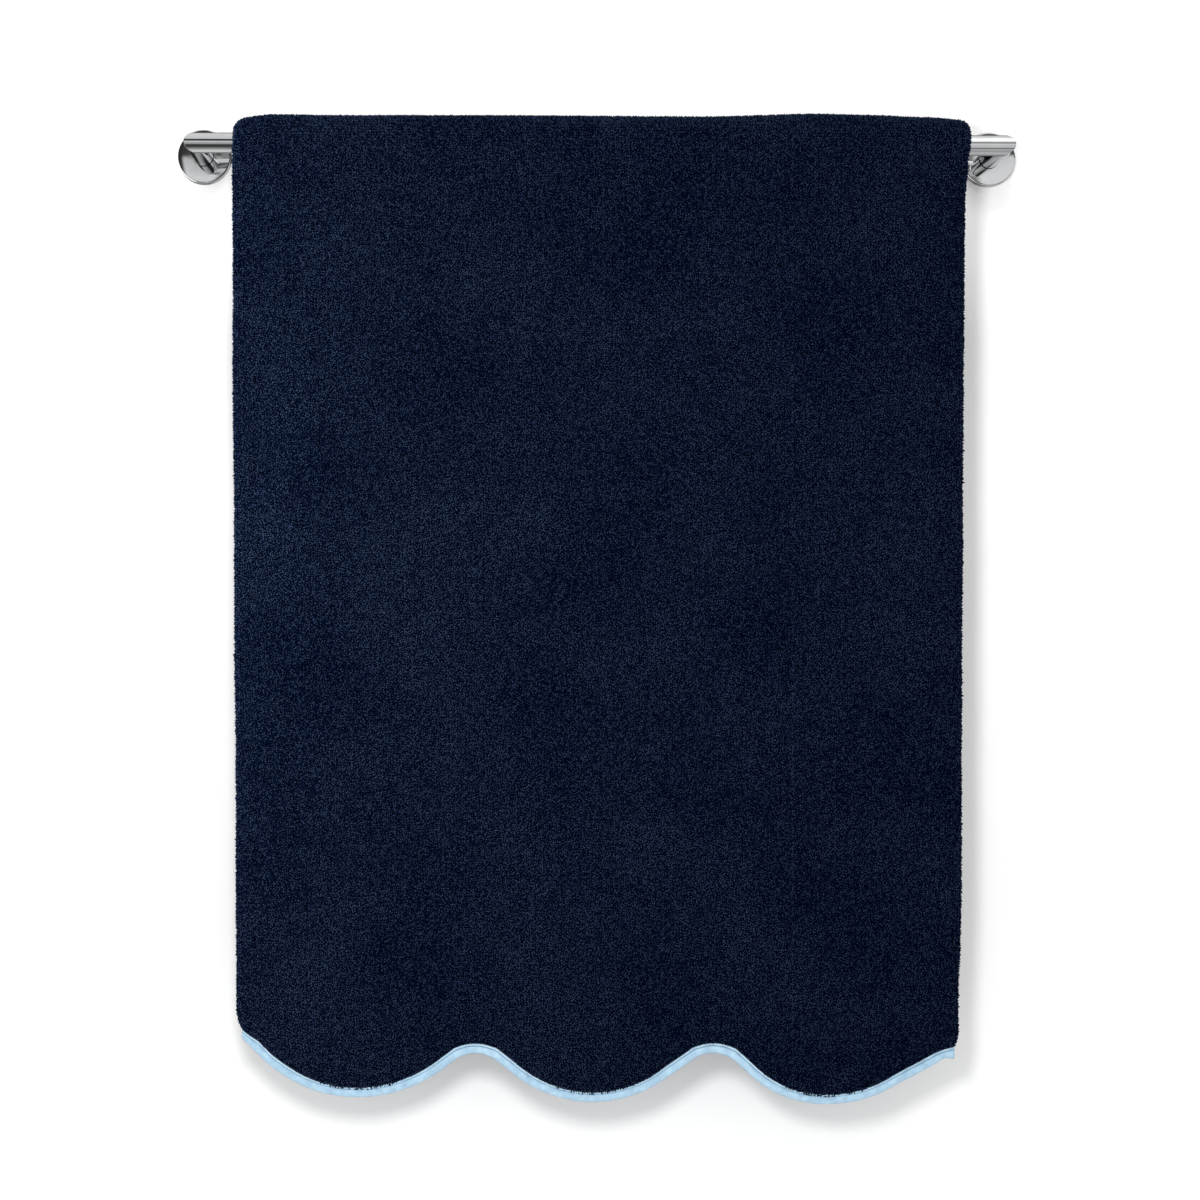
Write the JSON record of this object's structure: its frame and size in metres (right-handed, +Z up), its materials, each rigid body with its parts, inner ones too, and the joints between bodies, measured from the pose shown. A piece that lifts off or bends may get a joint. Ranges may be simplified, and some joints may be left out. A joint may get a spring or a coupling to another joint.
{
  "type": "bath towel on towel rail",
  "caption": "Loop-terry bath towel with scalloped, tape-bound ends, hung open over a round wall-mounted towel rail with mitred corners and round flanges.",
  "frame": {"origin": "on the wall plane, midway between the two posts, at the height of the rail's axis", "axes": "+Z up, +Y into the wall, +X to the right as seen from in front of the towel"},
  "size_m": [0.814, 0.0941, 0.9299],
  "materials": {
    "terry": "navy loop terry, matt and deep",
    "binding": "light blue plain cotton bias tape",
    "chrome": "polished"
  },
  "bodies": {
    "root": {"towel_terry": "terry", "binding_front": "binding", "binding_back": "binding", "rail_tube": "chrome", "post_left": "chrome", "post_right": "chrome", "flange_left": "chrome", "flange_right": "chrome", "grub_screw_left": "chrome", "grub_screw_right": "chrome"}
  },
  "joints": []
}
